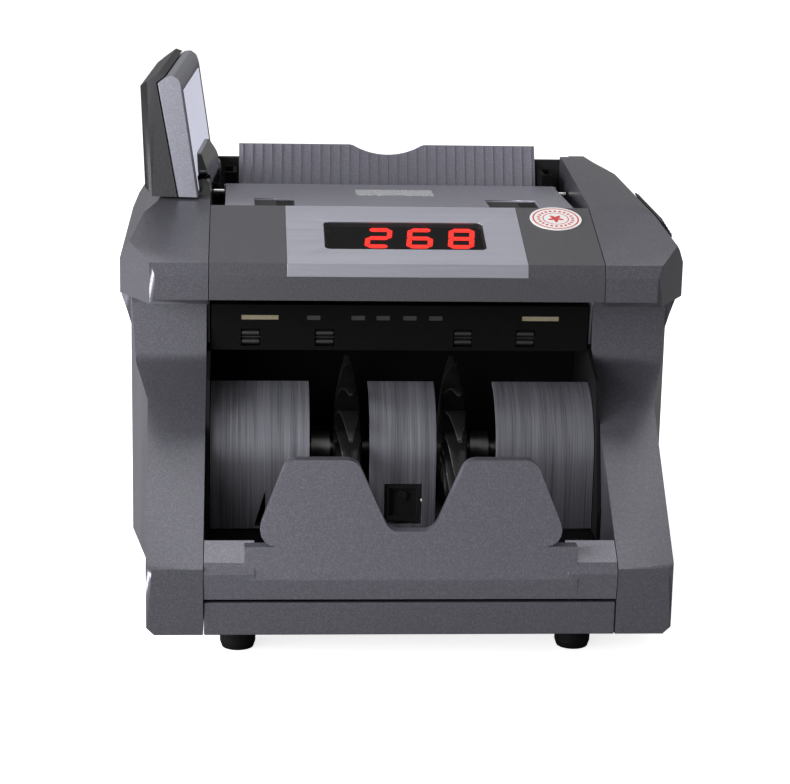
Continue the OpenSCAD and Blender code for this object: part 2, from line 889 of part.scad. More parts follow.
// A slab of the display with the given outline, x inwards and z up from its foot.
module display_slab(pts, y0, y1) {
    at_display()
        backwards(y0, y1) polygon(pts);
}

shell_pts = [
    [-11.4, 0.4], [-21.8, 62.8], [-17.4, 66.2], [-21, 67.4], [-31, 60], [-29.4, 4.4], [-25, 0.4]
];
bezel_pts = [
    [0.1, 0.4], [-8, 60], [-9.6, 64.4], [-12.6, 66.6], [-16.2, 66.2], [-21.2, 62.4], [-10.9, 0.4]
];
screen_pts = [[-0.3, 3], [-7.7, 57.6], [-9.6, 57.6], [-2.2, 3]];
pin_x = 1.6;                       // hinge pin, from the foot of the screen
pin_z = 4.6;
pin_r = 1.5;
barrel_r = 3.6;
barrel_y = [18.4, 55.6];           // the moving barrel, between the two fixed ones

// Front view and side view of the knuckle, seen along the machine and across it.
knuckle_front = concat(
    [[barrel_y[0], pin_z], [barrel_y[1], pin_z], [barrel_y[1], 9.4]],
    rounded([[63, 9.5], [55, 20.6], [19, 20.6], [11, 9.5]], 2),
    [[barrel_y[0], 9.4]]
);
knuckle_side = [
    [-2.2, pin_z], [5.1, pin_z], [4.3, 9.4], [2.4, 14.6], [-0.6, 20.8], [-4.3, 20.8]
];

module pin_bar(y0, y1, r) {
    translate([pin_x, y0, pin_z]) rotate([-90, 0, 0]) cylinder(h = y1 - y0, r = r);
}

module flip_display_shell() {
    color([0.25, 0.25, 0.27]) display_slab(shell_pts, 0, disp_d);
}

module flip_display_bezel() {
    color([0.66, 0.67, 0.72])
    difference() {
        display_slab(bezel_pts, 0, disp_d);
        at_display() backwards(4.8, disp_d - 4.8) polygon(inset(screen_pts, -0.1));
        at_display() translate([-4, 9, -1]) cube([12, 56, 11]);
        at_display() across(-2.4, 8) polygon(inset(knuckle_front, -0.1));
    }
}

module flip_display_screen() {
    color([0.80, 0.81, 0.90])
    difference() {
        display_slab(screen_pts, 5, disp_d - 5);
        at_display() translate([-5, 8, -1]) cube([12, 58, 11]);
        at_display() across(-12, 8) polygon(inset(knuckle_front, -0.15));
    }
}

// Half-oval cheek and barrel that the display swings on.
module flip_display_knuckle() {
    color([0.05, 0.05, 0.06])
    at_display()
        difference() {
            union() {
                pin_bar(barrel_y[0], barrel_y[1], barrel_r);
                intersection() {
                    across(-6, 8) polygon(knuckle_front);
                    backwards(0, disp_d) polygon(knuckle_side);
                }
            }
            pin_bar(barrel_y[0] - 1, barrel_y[1] + 1, pin_r + running);
        }
}

module display_hinge_base() {
    color(dark)
    at_display()
        difference() {
            for (y = [10, 57]) {
                pin_bar(y, y + 7, barrel_r);
                translate([pin_x - barrel_r, y, -6]) cube([barrel_r * 2, 7, pin_z + 6]);
            }
            pin_bar(pin_y[0], pin_y[1], pin_r);
        }
}

pin_y = [11.4, 62.6];              // the pin's ends stay inside the fixed barrels

module display_hinge_pin() {
    color(steel)
    at_display() pin_bar(pin_y[0], pin_y[1], pin_r);
}

// ---- Drawing ----------------------------------------------------------------

placed() base_pan();
placed() rubber_feet();
placed() left_side_frame();
placed() right_side_frame();
placed() cross_braces();
placed() left_side_cover();
placed() right_side_cover();
placed() display_hood();
placed() display_faceplate();
placed() display_window();
placed() count_display_board();
placed() count_digits();
placed() round_seal();
placed() shoulder_grille();
placed() stacker_front_panel();
placed() stacker_floor();
placed() left_stack_plate();
placed() centre_stack_plate();
placed() right_stack_plate();
placed() note_sensor();
placed() upper_note_guide();
placed() reader_bar();
placed() reader_lamps();
placed() reader_contacts();
placed() partition_wall();
placed() back_cover();
placed() hopper_back_plate();
placed() hopper_side_guides();
placed() feed_chute();
placed() drive_motor();
placed() stacker_motor();
placed() control_board();
placed() power_supply();
placed() power_inlet();
placed() shaft_bearings();
placed() drive_belt();
placed() stacker_belt();
placed() cover_screws();
placed() hatch_cover();
placed() hatch_label();
placed() hatch_hinge_pins();
placed() display_hinge_base();
placed() display_hinge_pin();
placed() flip_display_shell();
placed() flip_display_bezel();
placed() flip_display_screen();
placed() flip_display_knuckle();
placed() pickup_roller();
placed() counting_roller();
placed() pinch_rollers();
placed() stacker_wheels();
placed() stacker_shaft();
placed() drive_motor_pulley();
placed() stacker_motor_pulley();
placed() power_switch();
placed() feed_gap_knob();
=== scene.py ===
import bpy
import bmesh
import json
from math import sin, cos, atan, pi, radians, sqrt
from mathutils import Vector, Matrix


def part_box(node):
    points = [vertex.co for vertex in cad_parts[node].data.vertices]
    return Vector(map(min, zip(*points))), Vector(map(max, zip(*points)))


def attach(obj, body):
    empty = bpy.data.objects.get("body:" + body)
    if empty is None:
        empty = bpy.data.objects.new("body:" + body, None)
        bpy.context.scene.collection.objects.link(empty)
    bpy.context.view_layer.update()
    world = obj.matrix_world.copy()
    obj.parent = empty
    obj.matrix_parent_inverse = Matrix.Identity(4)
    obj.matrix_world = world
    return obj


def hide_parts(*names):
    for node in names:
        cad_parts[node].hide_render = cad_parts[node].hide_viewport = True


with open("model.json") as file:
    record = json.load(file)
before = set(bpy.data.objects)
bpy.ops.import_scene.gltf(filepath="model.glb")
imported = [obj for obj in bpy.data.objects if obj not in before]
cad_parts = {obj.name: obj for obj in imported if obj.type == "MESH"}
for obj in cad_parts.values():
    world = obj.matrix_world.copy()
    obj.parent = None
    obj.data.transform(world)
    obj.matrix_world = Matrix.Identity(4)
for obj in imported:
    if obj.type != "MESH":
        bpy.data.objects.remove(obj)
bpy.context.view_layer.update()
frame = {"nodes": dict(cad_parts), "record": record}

nodes = frame["nodes"]
mm = 0.001
print("frame loaded:", len(nodes), "nodes")


# A wrapped socket, so that shader maths reads as ordinary expressions.
class Sock:
    def __init__(self, maker, socket):
        self.maker = maker
        self.socket = socket

    def combine(self, kind, first, second=None, clamp=False):
        inputs = {0: first} if second is None else {0: first, 1: second}
        return self.maker.node("ShaderNodeMath", {"operation": kind, "use_clamp": clamp}, inputs)

    def __add__(self, other): return self.combine("ADD", self, other)
    def __radd__(self, other): return self.combine("ADD", other, self)
    def __sub__(self, other): return self.combine("SUBTRACT", self, other)
    def __rsub__(self, other): return self.combine("SUBTRACT", other, self)
    def __mul__(self, other): return self.combine("MULTIPLY", self, other)
    def __rmul__(self, other): return self.combine("MULTIPLY", other, self)
    def __truediv__(self, other): return self.combine("DIVIDE", self, other)
    def __pow__(self, other): return self.combine("POWER", self, other)
    def __gt__(self, other): return self.combine("GREATER_THAN", self, other)
    def __lt__(self, other): return self.combine("LESS_THAN", self, other)
    def root(self): return self.combine("SQRT", self)
    def fraction(self): return self.combine("FRACT", self)
    def clamped(self): return self.combine("ADD", self, 0.0, clamp=True)


class Finish:
    def __init__(self, name):
        self.material = bpy.data.materials.new(name)
        self.material.use_nodes = True
        self.tree = self.material.node_tree
        self.tree.nodes.clear()
        self.output = self.tree.nodes.new("ShaderNodeOutputMaterial")
        self.place = None

    def node(self, kind, settings=None, inputs=None, out=0):
        made = self.tree.nodes.new(kind)
        for key, value in (settings or {}).items():
            setattr(made, key, value)
        for key, value in (inputs or {}).items():
            socket = made.inputs[key]
            if isinstance(value, Sock):
                self.tree.links.new(value.socket, socket)
            else:
                socket.default_value = value
        return Sock(self, made.outputs[out])

    def where(self):                       # object coordinates, in metres
        if self.place is None:
            self.place = self.node("ShaderNodeTexCoord", out="Object")
        return self.place

    def axes(self, vector=None):
        made = self.tree.nodes.new("ShaderNodeSeparateXYZ")
        self.tree.links.new((vector or self.where()).socket, made.inputs[0])
        return [Sock(self, made.outputs[i]) for i in range(3)]

    def stretched(self, scale):
        return self.node("ShaderNodeMapping", {"vector_type": "POINT"},
                         {"Vector": self.where(), "Scale": scale})

    def noise(self, scale, detail=2.0, rough=0.5, vector=None):
        return self.node("ShaderNodeTexNoise", {"noise_dimensions": "3D"},
                         {"Vector": vector or self.where(), "Scale": scale, "Detail": detail,
                          "Roughness": rough})

    def cells(self, scale, vector=None, out="Distance"):
        return self.node("ShaderNodeTexVoronoi", {"feature": "F1"},
                         {"Vector": vector or self.where(), "Scale": scale}, out)

    def level(self, value, low, high, fromLow=0.0, fromHigh=1.0):
        return self.node("ShaderNodeMapRange", {"clamp": True},
                         {"Value": value, "From Min": fromLow, "From Max": fromHigh, "To Min": low,
                          "To Max": high})

    def blend(self, amount, first, second):
        return self.node("ShaderNodeMix", {"data_type": "RGBA"}, {0: amount, 6: first, 7: second}, 2)

    def bump(self, height, strength, distance, under=None):
        inputs = {"Height": height, "Strength": strength, "Distance": distance}
        if under is not None:
            inputs["Normal"] = under
        return self.node("ShaderNodeBump", {}, inputs)

    def surface(self, **inputs):
        names = {key: key.replace("_", " ") for key in inputs}
        named = {names[key]: value for key, value in inputs.items()}
        shader = self.node("ShaderNodeBsdfPrincipled", {}, named)
        self.tree.links.new(shader.socket, self.output.inputs["Surface"])
        return self.material


def rgb(value, tint=(1, 1, 1)):
    return (value * tint[0], value * tint[1], value * tint[2], 1)


def pearlPaint(name, shade=0.15, tint=(0.98, 0.965, 1.16), rough=0.34, metal=0.5, spark=1.4, size=2300):
    f = Finish(name)
    flake = f.cells(size, out="Color")                         # metallic flakes under the lacquer
    flakeBright, _, _ = f.axes(flake)
    cloud = f.noise(16, 3)
    grain = f.noise(2600, 2)
    orange = f.noise(420, 2)                                   # orange peel of sprayed lacquer
    colour = f.blend(f.level(flakeBright, 0, 1, 0.5, 1.0), rgb(shade * 0.92, tint), rgb(shade * spark, tint))
    colour = f.blend(f.level(cloud, 0, 0.2, 0.35, 0.75), colour, rgb(shade * 0.85, tint))
    roughness = f.level(grain, rough - 0.04, rough + 0.07) + f.level(cloud, -0.02, 0.02)
    skin = f.bump(grain, 0.1, 0.0001, f.bump(orange, 0.05, 0.0001))
    return f.surface(Base_Color=colour, Metallic=metal, Roughness=roughness, Normal=skin,
                     Coat_Weight=0.3, Coat_Roughness=0.16)


def sandyPlastic(name, shade=0.07, rough=0.5, tint=(1, 0.99, 1.14), grit=1100, depth=0.00016, metal=0.0,
                 shine=0.5):
    f = Finish(name)
    grain = f.noise(grit, 3, 0.6)
    pits = f.cells(grit * 0.7)
    colour = f.blend(f.level(grain, 0, 1, 0.3, 0.75), rgb(shade * 0.72, tint), rgb(shade * 1.3, tint))
    skin = f.bump(grain, 0.4, depth, f.bump(pits, 0.25, depth))
    return f.surface(Base_Color=colour, Metallic=metal, Roughness=f.level(grain, rough - 0.06, rough + 0.08),
                     Normal=skin, Specular_IOR_Level=shine)


def brushedMetal(name, shade, along, lines=2600, rough=0.34, tint=(0.98, 0.99, 1.14), contrast=0.3, metal=1.0,
                 bite=0.25):
    f = Finish(name)
    stretch = [lines * 0.01 if axis in along else lines for axis in "XYZ"]
    fine = f.noise(1.0, 3, 0.65, f.stretched(stretch))
    coarse = f.noise(1.0, 2, 0.5, f.stretched([value * 0.16 for value in stretch]))
    streak = fine * 0.6 + coarse * 0.4
    dull, bright = rgb(shade * (1 - contrast), tint), rgb(shade * (1 + contrast), tint)
    colour = f.blend(f.level(streak, 0, 1, 0.36, 0.64), dull, bright)
    skin = f.bump(streak, bite, 0.00012)
    roughness = f.level(streak, rough - 0.09, rough + 0.1, 0.3, 0.7)
    return f.surface(Base_Color=colour, Metallic=metal, Roughness=roughness, Normal=skin)


def glossPlastic(name, shade, rough=0.16, tint=(1, 1, 1), coat=0.3, shine=0.5):
    f = Finish(name)
    wave = f.noise(90, 2)
    dust = f.noise(1400, 2)
    colour = f.blend(f.level(wave, 0, 1, 0.4, 0.6), rgb(shade * 0.92, tint), rgb(shade * 1.08, tint))
    return f.surface(Base_Color=colour, Roughness=f.level(dust, rough - 0.03, rough + 0.05), Coat_Weight=coat,
                     Coat_Roughness=0.08, Normal=f.bump(wave, 0.05, 0.0002), Specular_IOR_Level=shine)


def rubberSkin(name, shade=0.02):
    f = Finish(name)
    grain = f.noise(900, 3, 0.6)
    bloom = f.noise(45, 2)
    colour = f.blend(f.level(bloom, 0, 1, 0.4, 0.7), rgb(shade * 0.8), rgb(shade * 1.5))
    return f.surface(Base_Color=colour, Roughness=f.level(grain, 0.55, 0.78),
                     Normal=f.bump(grain, 0.35, 0.0002), Specular_IOR_Level=0.12)


def groundSteel(name, shade=0.6, rough=0.2):
    f = Finish(name)
    turns = f.noise(1.0, 2, 0.6, f.stretched((2600, 60, 60)))
    colour = f.blend(turns, rgb(shade * 0.8, (1, 0.99, 0.97)), rgb(shade * 1.1, (1, 0.99, 0.97)))
    return f.surface(Base_Color=colour, Metallic=1.0, Roughness=f.level(turns, rough, rough + 0.14),
                     Normal=f.bump(turns, 0.15, 0.00008))


def smokedWindow(name):
    f = Finish(name)
    haze = f.noise(60, 2)
    return f.surface(Base_Color=(0.002, 0.002, 0.0025, 1), Roughness=f.level(haze, 0.08, 0.14), Alpha=0.4,
                     Specular_IOR_Level=0.3)


def litSegment(name, colour=(1.0, 0.03, 0.02), power=4.0):
    f = Finish(name)
    glow = f.noise(260, 1)
    shade = f.blend(f.level(glow, 0, 1, 0.35, 0.65), (*[c * 0.85 for c in colour], 1), (*colour, 1))
    return f.surface(Base_Color=(0.3, 0.01, 0.005, 1), Emission_Color=shade, Emission_Strength=power,
                     Roughness=0.5)


def circuitBoard(name):
    f = Finish(name)
    x, y, z = f.axes()
    tracks = ((x * 420).fraction() < 0.3) * ((f.noise(55, 1)) > 0.5)
    colour = f.blend(tracks, (0.01, 0.055, 0.026, 1), (0.02, 0.11, 0.05, 1))
    return f.surface(Base_Color=colour, Roughness=f.level(f.noise(300, 2), 0.25, 0.4),
                     Normal=f.bump(tracks, 0.3, 0.00008))


def paperSeal(name, middle, slope, across):
    f = Finish(name)
    up = f.axes()
    dx = up[0] - middle.x
    along = (up[1] - middle.y) * cos(slope) + (up[2] - middle.z) * sin(slope)
    reach = ((dx * dx + along * along).root()) / across          # 0 at the middle, 1 at the rim
    turn = f.node("ShaderNodeMath", {"operation": "ARCTAN2"}, {0: along, 1: dx}) / (2 * pi) + 0.5

    def band(low, high):
        return (reach > low) * (reach < high)

    petals = (turn * 5 + 0.25).fraction() - 0.5
    star = reach < (0.34 - 0.44 * f.node("ShaderNodeMath", {"operation": "ABSOLUTE"}, {0: petals}))
    dashes = ((turn * 22).fraction() < 0.55) * band(0.6, 0.72)
    ink = (band(0.84, 0.9) + band(0.47, 0.51) + dashes + star).clamped()
    colour = f.blend(ink, (0.86, 0.85, 0.84, 1), (0.62, 0.03, 0.035, 1))
    return f.surface(Base_Color=colour, Roughness=f.level(f.noise(700, 2), 0.3, 0.42), Coat_Weight=0.25)


def foilLabel(name):
    f = Finish(name)
    specks = f.noise(900, 2, 0.7)
    colour = f.blend(f.level(specks, 0, 1, 0.42, 0.62), (0.42, 0.43, 0.46, 1), (0.86, 0.87, 0.9, 1))
    return f.surface(Base_Color=colour, Metallic=0.5, Roughness=f.level(specks, 0.3, 0.5),
                     Normal=f.bump(specks, 0.2, 0.0001))


def screenFace(name):
    f = Finish(name)
    x, y, z = f.axes()
    # Painted reflection and painted highlight: a broad sheen, and the screen lighter towards its top; the
    # glow carries both.
    sheen = f.noise(9, 2)
    colour = f.blend(f.level(sheen, 0, 1, 0.35, 0.65), (0.64, 0.65, 0.78, 1), (0.72, 0.73, 0.86, 1))
    colour = f.blend(f.level(z, 0, 0.3, 0.215, 0.285), colour, (0.72, 0.73, 0.86, 1))
    return f.surface(Base_Color=colour, Roughness=f.level(f.noise(500, 2), 0.2, 0.28), Coat_Weight=0.3,
                     Emission_Color=colour, Emission_Strength=0.7)


def paleFloor(name):
    f = Finish(name)
    tone = f.noise(3, 2)
    bright = f.blend(f.level(tone, 0, 1, 0.3, 0.7), (0.93, 0.93, 0.935, 1), (0.96, 0.96, 0.96, 1))
    shown = f.node("ShaderNodeBsdfPrincipled", {},
                   {"Base Color": bright, "Roughness": 0.65, "Specular IOR Level": 0.1,
                    "Emission Color": (1, 1, 1, 1), "Emission Strength": 0.78})
    dim = f.node("ShaderNodeBsdfDiffuse", {}, {"Color": (0.3, 0.3, 0.3, 1)})     # keeps undersides dark
    seen = f.node("ShaderNodeLightPath", out="Is Camera Ray")
    mixed = f.node("ShaderNodeMixShader", {}, {0: seen, 1: dim, 2: shown})
    f.tree.links.new(mixed.socket, f.output.inputs["Surface"])
    return f.material


yShift = -135.0                          # the front ridge lies this far in front of the middle
hood = {"front": (71.9, 193.7), "back": (138.5, 211.9)}       # two points of the slope, from the front ridge
hoodSlope = atan((hood["back"][1] - hood["front"][1]) / (hood["back"][0] - hood["front"][0]))
sealRadius = 0.014
sealLow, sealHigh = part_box("round_seal")
sealMiddle = (sealLow + sealHigh) / 2


def warmLamp(name):
    f = Finish(name)
    frost = f.noise(500, 2)
    colour = f.blend(frost, (0.2, 0.17, 0.1, 1), (0.3, 0.27, 0.19, 1))
    return f.surface(Base_Color=colour, Roughness=f.level(frost, 0.35, 0.5), Emission_Color=colour,
                     Emission_Strength=0.1)


finish = {
    "cover": pearlPaint("cover_paint", shade=0.112),
    "panel": pearlPaint("panel_paint", shade=0.145),
    "tray": pearlPaint("tray_paint", shade=0.28, rough=0.42, spark=1.2),
    "hatch": pearlPaint("hatch_paint", shade=0.29, rough=0.42, spark=1.2),
    "hood": sandyPlastic("hood_sand", shade=0.062, rough=0.5, metal=0.1),
    "facePlate": brushedMetal("face_plate_brushed", 0.37, "X", rough=0.4, contrast=0.07, metal=0.6,
                              bite=0.06),
    "stackPlate": brushedMetal("stack_plate_brushed", 0.18, "YZ", lines=2300, rough=0.42, contrast=0.4,
                               metal=0.5),
    "steel": groundSteel("ground_steel"),
    "darkSteel": groundSteel("sleeve_steel", shade=0.3, rough=0.35),
    # Painted shade: the reader's steel contacts, darkened for the shade deep under the hood.
    "shadedContactSteel": groundSteel("contact_steel_shade", shade=0.09, rough=0.4),
    "black": sandyPlastic("black_mould", shade=0.012, rough=0.5, shine=0.35),
    # Painted shade: black inside parts, made darker and duller than the black moulding to stand in for the
    # shade inside the machine.
    "shadeBlack": sandyPlastic("inner_black_shade", shade=0.004, rough=0.7, shine=0.08),
    "blackGloss": glossPlastic("black_gloss", 0.01, rough=0.2),
    # Black paint on the side frames, darkened further as painted shade inside the machine.
    "frame": sandyPlastic("frame_paint_and_shade", shade=0.006, rough=0.65, shine=0.12),
    "window": smokedWindow("smoked_window"),
    "segment": litSegment("lit_segment"),
    "digitBlock": sandyPlastic("digit_block", shade=0.002, rough=0.7, shine=0.05),
    "seal": paperSeal("seal_paper", sealMiddle, hoodSlope, sealRadius),
    "label": foilLabel("foil_label"),
    # Black rubber, darkened further as painted shade under the base and inside.
    "rubber": rubberSkin("black_rubber_and_shade", shade=0.005),
    "wheel": glossPlastic("wheel_black", 0.01, rough=0.28, shine=0.6),
    "board": circuitBoard("board_mask"),
    "motor": sandyPlastic("motor_can", shade=0.12, rough=0.4, metal=0.6),
    "tin": brushedMetal("supply_tin", 0.5, "X", lines=1200, rough=0.4, contrast=0.1),
    "silver": pearlPaint("silver_lacquer", shade=0.27, tint=(0.97, 0.98, 1.15), rough=0.36, spark=1.3,
                         size=2600),
    "shell": sandyPlastic("shell_sand", shade=0.03, rough=0.45, metal=0.2),
    "screen": screenFace("screen_face"),
    "lamp": warmLamp("lamp_diffuser"),
    "grille": sandyPlastic("grille_mesh", shade=0.045, rough=0.55),
}
print("finishes made:", len(finish))


def nodeBody(name):
    for body, members in frame["record"]["behaviour"]["bodies"].items():
        if name in members:
            return body


def newPiece(name, mesh, *materials):
    piece = bpy.data.objects.new(name, mesh)
    bpy.context.scene.collection.objects.link(piece)
    chosen = [face.material_index for face in mesh.polygons]
    mesh.materials.clear()
    for material in materials:
        mesh.materials.append(material)
    if len(materials) > 1:
        mesh.polygons.foreach_set("material_index", chosen)
    return piece


# Smooth shading that keeps the flats flat: sharp edges by angle, then normals weighted by face.
def settled(piece, degrees=35):
    mesh = piece.data
    mesh.polygons.foreach_set("use_smooth", [True] * len(mesh.polygons))
    mesh.set_sharp_from_angle(angle=radians(degrees))
    weigh = piece.modifiers.new("weigh", "WEIGHTED_NORMAL")
    weigh.keep_sharp = True
    seen = piece.evaluated_get(bpy.context.evaluated_depsgraph_get())
    plain = bpy.data.meshes.new_from_object(seen)
    piece.modifiers.clear()
    piece.data = plain
    return piece


def rides(piece, like):
    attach(piece, nodeBody(like))
    return piece


def copyOf(name, flatten=0.8):
    bm = bmesh.new()
    bm.from_mesh(nodes[name].data)
    bmesh.ops.remove_doubles(bm, verts=bm.verts, dist=0.00002)
    bmesh.ops.dissolve_limit(bm, angle_limit=radians(flatten), verts=bm.verts, edges=bm.edges,
                             delimit=set())
    bm.normal_update()
    return bm


def roundEdges(bm, width, angle=20, shortest=4.0, segments=3, chooses=None):
    picked = [
        edge for edge in bm.edges
        if len(edge.link_faces) == 2 and edge.is_convex and edge.calc_length() > shortest * mm
        and edge.calc_face_angle(0) > radians(angle) and (chooses is None or chooses(edge))
    ]
    bmesh.ops.bevel(bm, geom=picked, offset=width * mm, offset_type="OFFSET", segments=segments,
                    profile=0.5, affect="EDGES", clamp_overlap=True, miter_outer="ARC")
    bm.normal_update()


# A CAD node's own shape with its edges rounded, one pass for each row of settings.
def softened(name, material, *passes, sharp=35, more=(), paint=None):
    bm = copyOf(name)
    for row in passes:
        roundEdges(bm, **row)
    if paint is not None:
        for face in bm.faces:
            face.material_index = paint(face)
    bmesh.ops.triangulate(bm, faces=[face for face in bm.faces if len(face.verts) > 4])
    mesh = bpy.data.meshes.new(name + "_soft")
    bm.to_mesh(mesh)
    bm.free()
    piece = rides(settled(newPiece(name + "_skin", mesh, material, *more), sharp), name)
    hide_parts(name)
    return piece


def dress(finishName, *names):
    for name in names:
        mesh = nodes[name].data
        mesh.materials.clear()
        mesh.materials.append(finish[finishName])


# One tree repeats a small shape along a line, round an axis, or both.
def repeatTree():
    tree = bpy.data.node_groups.new("repeat_shape", "GeometryNodeTree")
    wanted = {"Shape": "Geometry", "Count": "Int", "Start": "Vector", "Step": "Vector", "Turn": "Vector",
              "Finish": "Material"}
    sockets = {
        label: tree.interface.new_socket(label, in_out="INPUT", socket_type="NodeSocket" + kind)
        for label, kind in wanted.items()
    }
    tree.interface.new_socket("Shape", in_out="OUTPUT", socket_type="NodeSocketGeometry")

    def add(kind, settings=None, **links):
        made = tree.nodes.new(kind)
        for key, value in (settings or {}).items():
            setattr(made, key, value)
        for key, source in links.items():
            tree.links.new(source, made.inputs[key.replace("_", " ")])
        return made

    given = add("NodeGroupInput").outputs
    line = add("GeometryNodeMeshLine", {"mode": "OFFSET"}, Count=given["Count"],
               Start_Location=given["Start"], Offset=given["Step"])
    index = add("GeometryNodeInputIndex")
    turned = add("ShaderNodeVectorMath", {"operation": "SCALE"}, Vector=given["Turn"], Scale=index.outputs[0])
    spin = add("FunctionNodeEulerToRotation", None, Euler=turned.outputs[0])
    placed = add("GeometryNodeInstanceOnPoints", None, Points=line.outputs[0], Instance=given["Shape"],
                 Rotation=spin.outputs[0])
    real = add("GeometryNodeRealizeInstances", None, Geometry=placed.outputs[0])
    coat = add("GeometryNodeSetMaterial", None, Geometry=real.outputs[0], Material=given["Finish"])
    add("NodeGroupOutput", None, Shape=coat.outputs[0])
    return tree, {label: socket.identifier for label, socket in sockets.items()}


repeatGroup, repeatKeys = repeatTree()


# Gives the plain mesh of the repeated shape; sizes are in millimetres, turns in degrees.
def repeatedMesh(name, mesh, material, count, start=(0, 0, 0), step=(0, 0, 0), turn=(0, 0, 0)):
    seed = bpy.data.objects.new(name + "_seed", mesh)
    bpy.context.scene.collection.objects.link(seed)
    rule = seed.modifiers.new("repeat", "NODES")
    rule.node_group = repeatGroup
    rule[repeatKeys["Count"]] = count
    rule[repeatKeys["Start"]] = [value * mm for value in start]
    rule[repeatKeys["Step"]] = [value * mm for value in step]
    rule[repeatKeys["Turn"]] = [radians(value) for value in turn]
    rule[repeatKeys["Finish"]] = material
    seen = seed.evaluated_get(bpy.context.evaluated_depsgraph_get())
    plain = bpy.data.meshes.new_from_object(seen)
    seed.modifiers.clear()
    bpy.data.objects.remove(seed)
    return plain


def joined(name, meshes):
    bm = bmesh.new()
    for mesh in meshes:
        bm.from_mesh(mesh)
    made = bpy.data.meshes.new(name)
    bm.to_mesh(made)
    bm.free()
    return made


def meshOf(name, bm):
    bmesh.ops.recalc_face_normals(bm, faces=bm.faces)
    mesh = bpy.data.meshes.new(name)
    bm.to_mesh(mesh)
    bm.free()
    return mesh


# Skins a run of closed rings, each a list of points in millimetres, and caps both ends.
def lofted(name, rings):
    bm = bmesh.new()
    rows = [[bm.verts.new(Vector(point) * mm) for point in ring] for ring in rings]
    n = len(rows[0])
    for low, high in zip(rows, rows[1:]):
        for i in range(n):
            bm.faces.new((low[i], low[(i + 1) % n], high[(i + 1) % n], high[i]))
    bm.faces.new(rows[0][::-1])
    bm.faces.new(rows[-1])
    return meshOf(name, bm)


# Turns an outline of (radius, height) pairs about Z, closing it at the axis.
def turnedShape(name, outline, sides=32, axis="Z"):
    def at(r, h, a):
        c, s = r * cos(a), r * sin(a)
        return {"Z": (c, s, h), "Y": (c, h, s), "X": (h, c, s)}[axis]

    return lofted(name, [[at(r, h, 2 * pi * k / sides) for k in range(sides)] for r, h in outline])


coverEdge = {"width": 2.6, "angle": 12, "shortest": 5}
for side in ("left", "right"):
    softened(side + "_side_cover", finish["cover"], coverEdge, sharp=40)
softened("display_hood", finish["hood"], {"width": 1.0, "shortest": 6})
softened("base_pan", finish["cover"], {"width": 0.8, "shortest": 6})
softened("back_cover", finish["black"], {"width": 0.7, "shortest": 10, "segments": 2})
softened("display_faceplate", finish["facePlate"], {"width": 0.5, "segments": 2, "shortest": 1})
print("covers done")


# The panel's long outline gets a broad chamfer, its other edges a small round.
panel = {"rim": 3.2, "edge": 0.7, "rimFrom": 0.056}


def onRim(edge):
    forward = [face.normal.y for face in edge.link_faces]
    sideways = [abs(value) for value in forward if value > -0.5]
    middle = (edge.verts[0].co + edge.verts[1].co) / 2
    facesFront = min(forward) < -0.5 and len(sideways) > 0
    return facesFront and max(sideways) < 0.25 and middle.z > panel["rimFrom"]


softened("stacker_front_panel", finish["panel"],
         {"width": panel["rim"], "angle": 25, "shortest": 0.3, "segments": 2, "chooses": onRim},
         {"width": panel["edge"], "angle": 30, "shortest": 1.5, "segments": 2}, sharp=32)
print("panel done")

# The sunk floors of the hatch's finger pockets are painted black, as painted shade in the recesses.
pockets = {
    "count": 7, "pitch": 3.4, "length": 9, "first": 144, "places": (-62.5, 71.5), "floor": 209.45,
    "between": (0.2088, 0.2101), "behind": 0.032,
}


def isShadedPocketFloor(face):
    middle = face.calc_center_median()
    low, high = pockets["between"]
    return int(face.normal.z > 0.9 and low < middle.z < high and middle.y < pockets["behind"])


softened("hatch_cover", finish["hatch"], {"width": 0.6, "shortest": 5, "segments": 2},
         more=(finish["black"],), paint=isShadedPocketFloor)


# The shell's upright corners towards the viewer and away are cut off broadly.
def shellCorner(edge):
    faces = [face.normal for face in edge.link_faces]
    return min(normal.x for normal in faces) < -0.85 and max(abs(normal.y) for normal in faces) > 0.85


softened("flip_display_shell", finish["shell"],
         {"width": 6.0, "angle": 40, "shortest": 20, "segments": 1, "chooses": shellCorner},
         {"width": 0.9, "shortest": 3})
softened("flip_display_bezel", finish["silver"],
         {"width": 3.0, "angle": 25, "shortest": 20, "segments": 3},
         {"width": 0.5, "angle": 40, "shortest": 8, "segments": 2})
softened("flip_display_screen", finish["screen"], {"width": 0.4, "segments": 2})
softened("flip_display_knuckle", finish["blackGloss"], {"width": 0.9, "angle": 30, "shortest": 1.5})
softened("display_hinge_base", finish["blackGloss"],
         {"width": 0.5, "angle": 40, "shortest": 1.5, "segments": 2})
print("customer display done")

# The digit blocks are black and only their segments glow.
blockDepth = -2.45 * mm


def isBlock(face):
    front, high = hood["front"]
    middle = face.calc_center_median() - Vector((0, (front + yShift) * mm, high * mm))
    return int(middle.z * cos(hoodSlope) - middle.y * sin(hoodSlope) < blockDepth)


softened("count_digits", finish["segment"], more=(finish["digitBlock"],), paint=isBlock, sharp=30)

for side in ("left", "centre", "right"):
    softened(side + "_stack_plate", finish["stackPlate"],
             {"width": 0.3, "angle": 40, "shortest": 3, "segments": 1}, sharp=40)
print("stack plates done")

# The ribbed plate that the notes lean on: a bent sheet with a scooped top edge and repeated ribs.
tray = {
    "half": 87.7, "pitch": 5.7, "ribs": 31, "thick": 1.7, "ribWide": 0.5, "ribHigh": 0.8,
    "notchRadius": 42.8, "notchDeep": 5.5, "top": 226.8, "lean": (8.4, 15.8), "columns": 96, "sink": 0.3,
    "face": [(224, 181), (236, 184), (245, 191), (251, 200.5), (256, 211), (264.4, 226.8)],
}


def trayTop(x):
    reach = tray["notchRadius"] ** 2 - x * x
    drop = tray["notchDeep"] - tray["notchRadius"] + sqrt(reach) if reach > 0 else 0
    return tray["top"] - max(0, drop)


